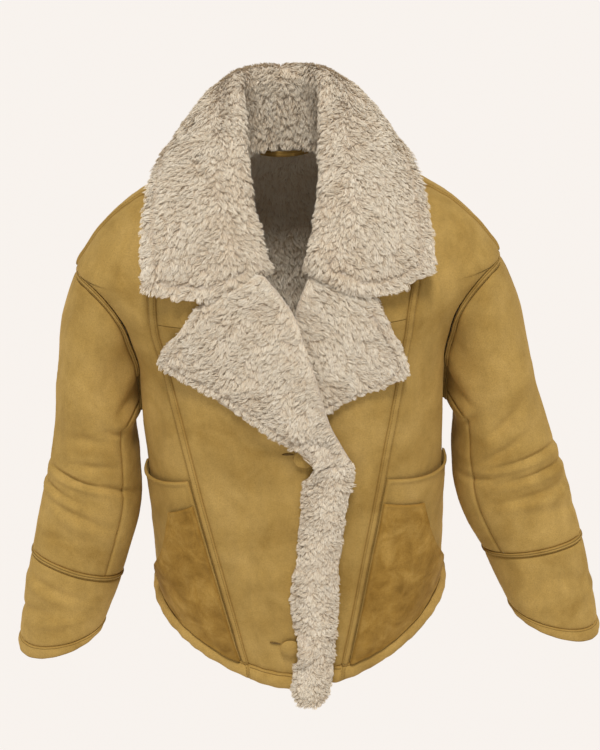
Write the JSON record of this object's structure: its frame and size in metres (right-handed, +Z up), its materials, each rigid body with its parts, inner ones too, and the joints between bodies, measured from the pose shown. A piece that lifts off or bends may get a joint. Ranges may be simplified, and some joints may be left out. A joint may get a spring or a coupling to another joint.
{
  "type": "suede and pile jacket",
  "caption": "Hip-length jacket of bonded suede and fleece with a wide notched collar, pile lapels, a lapped buttoned front, princess seams, side pockets and rolled cuffs.",
  "frame": {"origin": "middle of the neck at its base, on the mount form_neck", "axes": "+X to the wearer's left, -Y to the front, +Z up"},
  "size_m": [0.8129, 0.3187, 0.8258],
  "materials": {
    "suede": "tan brushed suede-like cloth",
    "nap_suede": "the same cloth with darker, ruffled nap",
    "pile": "curly cream pile with tan in its valleys",
    "thread": "twisted sewing thread",
    "button_backing": "matt moulded plate"
  },
  "bodies": {
    "shell": {"back_center_panel": "suede", "side_front_panel_right": "suede", "back_side_panel_right": "suede", "upper_front_panel_right": "suede", "side_front_panel_left": "suede", "back_side_panel_left": "suede", "upper_front_panel_left": "suede", "princess_welt_right": "suede", "back_welt_right": "suede", "shoulder_welt_right": "suede", "armhole_welt_right": "suede", "princess_welt_left": "suede", "back_welt_left": "suede", "shoulder_welt_left": "suede", "armhole_welt_left": "suede", "hem_band_right_side": "suede", "hem_band_left_side": "suede", "hem_band_back": "suede", "pocket_panel_right": "suede", "pocket_patch_right": "nap_suede", "pocket_panel_left": "suede", "pocket_patch_left": "nap_suede", "collar_leaf": "pile", "under_collar": "suede", "collar_stand": "pile", "hanger_loop": "suede"},
    "right_front": {"buttonhole_patch_upper": "suede", "buttonhole_patch_lower": "suede", "right_front_panel": "suede", "right_lapel": "pile", "front_edge_strip": "pile", "hem_band_right_front": "suede"},
    "left_front": {"left_front_panel": "suede", "left_lapel": "pile", "button_shank_upper": "thread", "button_shank_lower": "thread", "hem_band_left_front": "suede"},
    "upper_button": {"button_cap_upper": "suede", "button_back_upper": "button_backing"},
    "lower_button": {"button_cap_lower": "suede", "button_back_lower": "button_backing"},
    "right_sleeve": {"sleeve_top_right": "suede", "sleeve_under_right": "suede", "sleeve_elbow_right": "suede"},
    "right_forearm": {"forearm_top_right": "suede", "forearm_under_right": "suede", "forearm_welt_right": "suede", "cuff_top_right": "suede", "cuff_under_right": "suede", "cuff_roll_right": "suede"},
    "left_sleeve": {"sleeve_top_left": "suede", "sleeve_under_left": "suede", "sleeve_elbow_left": "suede"},
    "left_forearm": {"forearm_top_left": "suede", "forearm_under_left": "suede", "forearm_welt_left": "suede", "cuff_top_left": "suede", "cuff_under_left": "suede", "cuff_roll_left": "suede"}
  },
  "joints": [
    {"name": "right_front_open", "type": "hinge", "parent": "shell", "child": "right_front", "pos_m": [-0.1575, -0.113, -0.19], "axis": [0.1691, -0.0727, -0.9829], "range_deg": [0, 60], "deforming": ["buttonhole_patch_upper", "buttonhole_patch_lower"]},
    {"name": "left_front_open", "type": "hinge", "parent": "shell", "child": "left_front", "pos_m": [0.1375, -0.125, -0.19], "axis": [0.1691, 0.0669, 0.9833], "range_deg": [0, 31]},
    {"name": "upper_button_turn", "type": "hinge", "parent": "left_front", "child": "upper_button", "pos_m": [0.01218, -0.15494, -0.33384], "axis": [0.0271, -0.9993, 0.0245], "range_deg": [-45, 45]},
    {"name": "lower_button_turn", "type": "hinge", "parent": "left_front", "child": "lower_button", "pos_m": [-0.01524, -0.15845, -0.63032], "axis": [-0.0369, -0.9981, -0.0491], "range_deg": [-45, 45]},
    {"name": "right_sleeve_raise", "type": "hinge", "parent": "shell", "child": "right_sleeve", "pos_m": [-0.26, 0, -0.138], "axis": [0, 1, 0], "range_deg": [0, 50]},
    {"name": "right_elbow_bend", "type": "hinge", "parent": "right_sleeve", "child": "right_forearm", "pos_m": [-0.271, -0.038, -0.45], "axis": [-0.9511, 0, 0.309], "range_deg": [0, 45], "deforming": ["sleeve_elbow_right"]},
    {"name": "left_sleeve_raise", "type": "hinge", "parent": "shell", "child": "left_sleeve", "pos_m": [0.26, 0, -0.138], "axis": [0, -1, 0], "range_deg": [0, 50]},
    {"name": "left_elbow_bend", "type": "hinge", "parent": "left_sleeve", "child": "left_forearm", "pos_m": [0.284, -0.038, -0.455], "axis": [-0.9511, 0, -0.309], "range_deg": [0, 45], "deforming": ["sleeve_elbow_left"]}
  ],
  "couplings": [
    {"joint": "left_front_open", "follows": "right_front_open", "ratio": 0.5}
  ]
}
